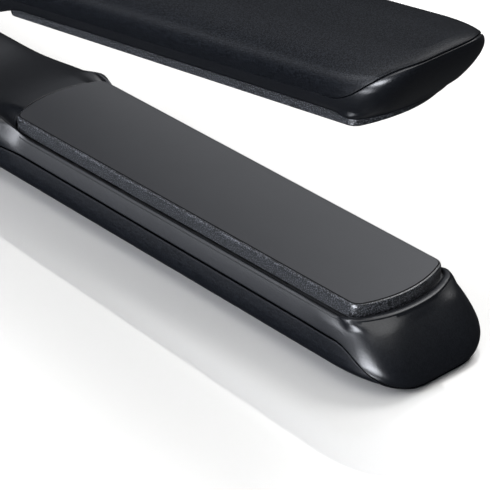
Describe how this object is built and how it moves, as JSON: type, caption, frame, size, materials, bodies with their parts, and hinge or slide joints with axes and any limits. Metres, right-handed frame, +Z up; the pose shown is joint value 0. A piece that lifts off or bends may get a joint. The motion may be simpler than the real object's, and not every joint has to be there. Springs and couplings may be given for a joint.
{
  "type": "flat iron",
  "caption": "Hair straightener: two long rounded arms on a sprung rear hinge, each with a floating heated plate, a press button and a swivelling cord gland.",
  "frame": {"origin": "centre of the part's footprint, on the surface it lies on", "axes": "+X from the hinge towards the tip, +Y across the arms, +Z up, out of the lower plate"},
  "size_m": [0.286, 0.0336, 0.0696],
  "materials": {
    "outer_casing": "matte, fine grain",
    "inner_casing": "satin",
    "plate_coating": "matte ceramic coating, speckled sides",
    "carrier": "satin, heat resistant",
    "element": "matte",
    "mica": "satin mica sheet",
    "steel": "brushed",
    "sensor": "gloss bead",
    "lead_sleeve": "silicone",
    "brass": "satin",
    "hinge_cap": "satin",
    "gland": "matte",
    "button": "semi-gloss",
    "board": "solder-mask gloss",
    "component_black": "matte",
    "component_yellow": "gloss",
    "component_blue": "gloss",
    "lens": "clear, frosted"
  },
  "bodies": {
    "lower_arm": {"lower_outer_shell": "outer_casing", "lower_inner_shell": "inner_casing", "lower_float_springs": "steel", "lower_heat_shield": "mica", "lower_shell_screws": "steel", "lower_leads": "lead_sleeve", "hinge_pins": "steel", "hinge_spring": "steel", "hinge_washers": "brass", "swivel_brushes": "brass", "button_switch": "component_black", "control_board": "board", "power_capacitor": "component_yellow", "mains_triac": "component_black", "control_chip": "component_black", "terminal_block": "component_blue", "status_led": "lens", "status_lens": "lens"},
    "lower_plate": {"lower_heater_plate": "plate_coating", "lower_plate_carrier": "carrier", "lower_heater_element": "element", "lower_heater_insulator": "mica", "lower_heater_clip": "steel", "lower_temperature_sensor": "sensor"},
    "upper_arm": {"upper_outer_shell": "outer_casing", "upper_inner_shell": "inner_casing", "upper_float_springs": "steel", "upper_heat_shield": "mica", "upper_shell_screws": "steel", "upper_leads": "lead_sleeve", "hinge_caps": "hinge_cap"},
    "upper_plate": {"upper_heater_plate": "plate_coating", "upper_plate_carrier": "carrier", "upper_heater_element": "element", "upper_heater_insulator": "mica", "upper_heater_clip": "steel", "upper_temperature_sensor": "sensor", "thermal_fuse": "element"},
    "power_button": {"power_button": "button"},
    "cord_swivel": {"cord_gland": "gland", "swivel_slip_rings": "brass"}
  },
  "joints": [
    {"name": "arm_hinge", "type": "hinge", "parent": "lower_arm", "child": "upper_arm", "pos_m": [-0.1204, 0, 0.0127], "axis": [0, 1, 0], "range_deg": [0, 8.54], "stiffness_Nm_per_rad": 1.5, "springref_deg": -17.19},
    {"name": "lower_plate_float", "type": "slide", "parent": "lower_arm", "child": "lower_plate", "axis": [0.0112, 0, -0.9999], "range_m": [0, 0.001], "stiffness_N_per_m": 5000, "springref_m": -0.001, "deforming": ["lower_float_springs"]},
    {"name": "upper_plate_float", "type": "slide", "parent": "upper_arm", "child": "upper_plate", "axis": [-0.1595, 0, 0.9872], "range_m": [0, 0.001], "stiffness_N_per_m": 5000, "springref_m": -0.001, "deforming": ["upper_float_springs"]},
    {"name": "power_button_press", "type": "slide", "parent": "lower_arm", "child": "power_button", "axis": [0, 0, -1], "range_m": [0, 0.0008], "stiffness_N_per_m": 1200, "springref_m": -0.0008},
    {"name": "cord_swivel_turn", "type": "hinge", "parent": "lower_arm", "child": "cord_swivel", "pos_m": [-0.1354, 0, 0.0127], "axis": [1, 0, 0], "continuous": true}
  ]
}
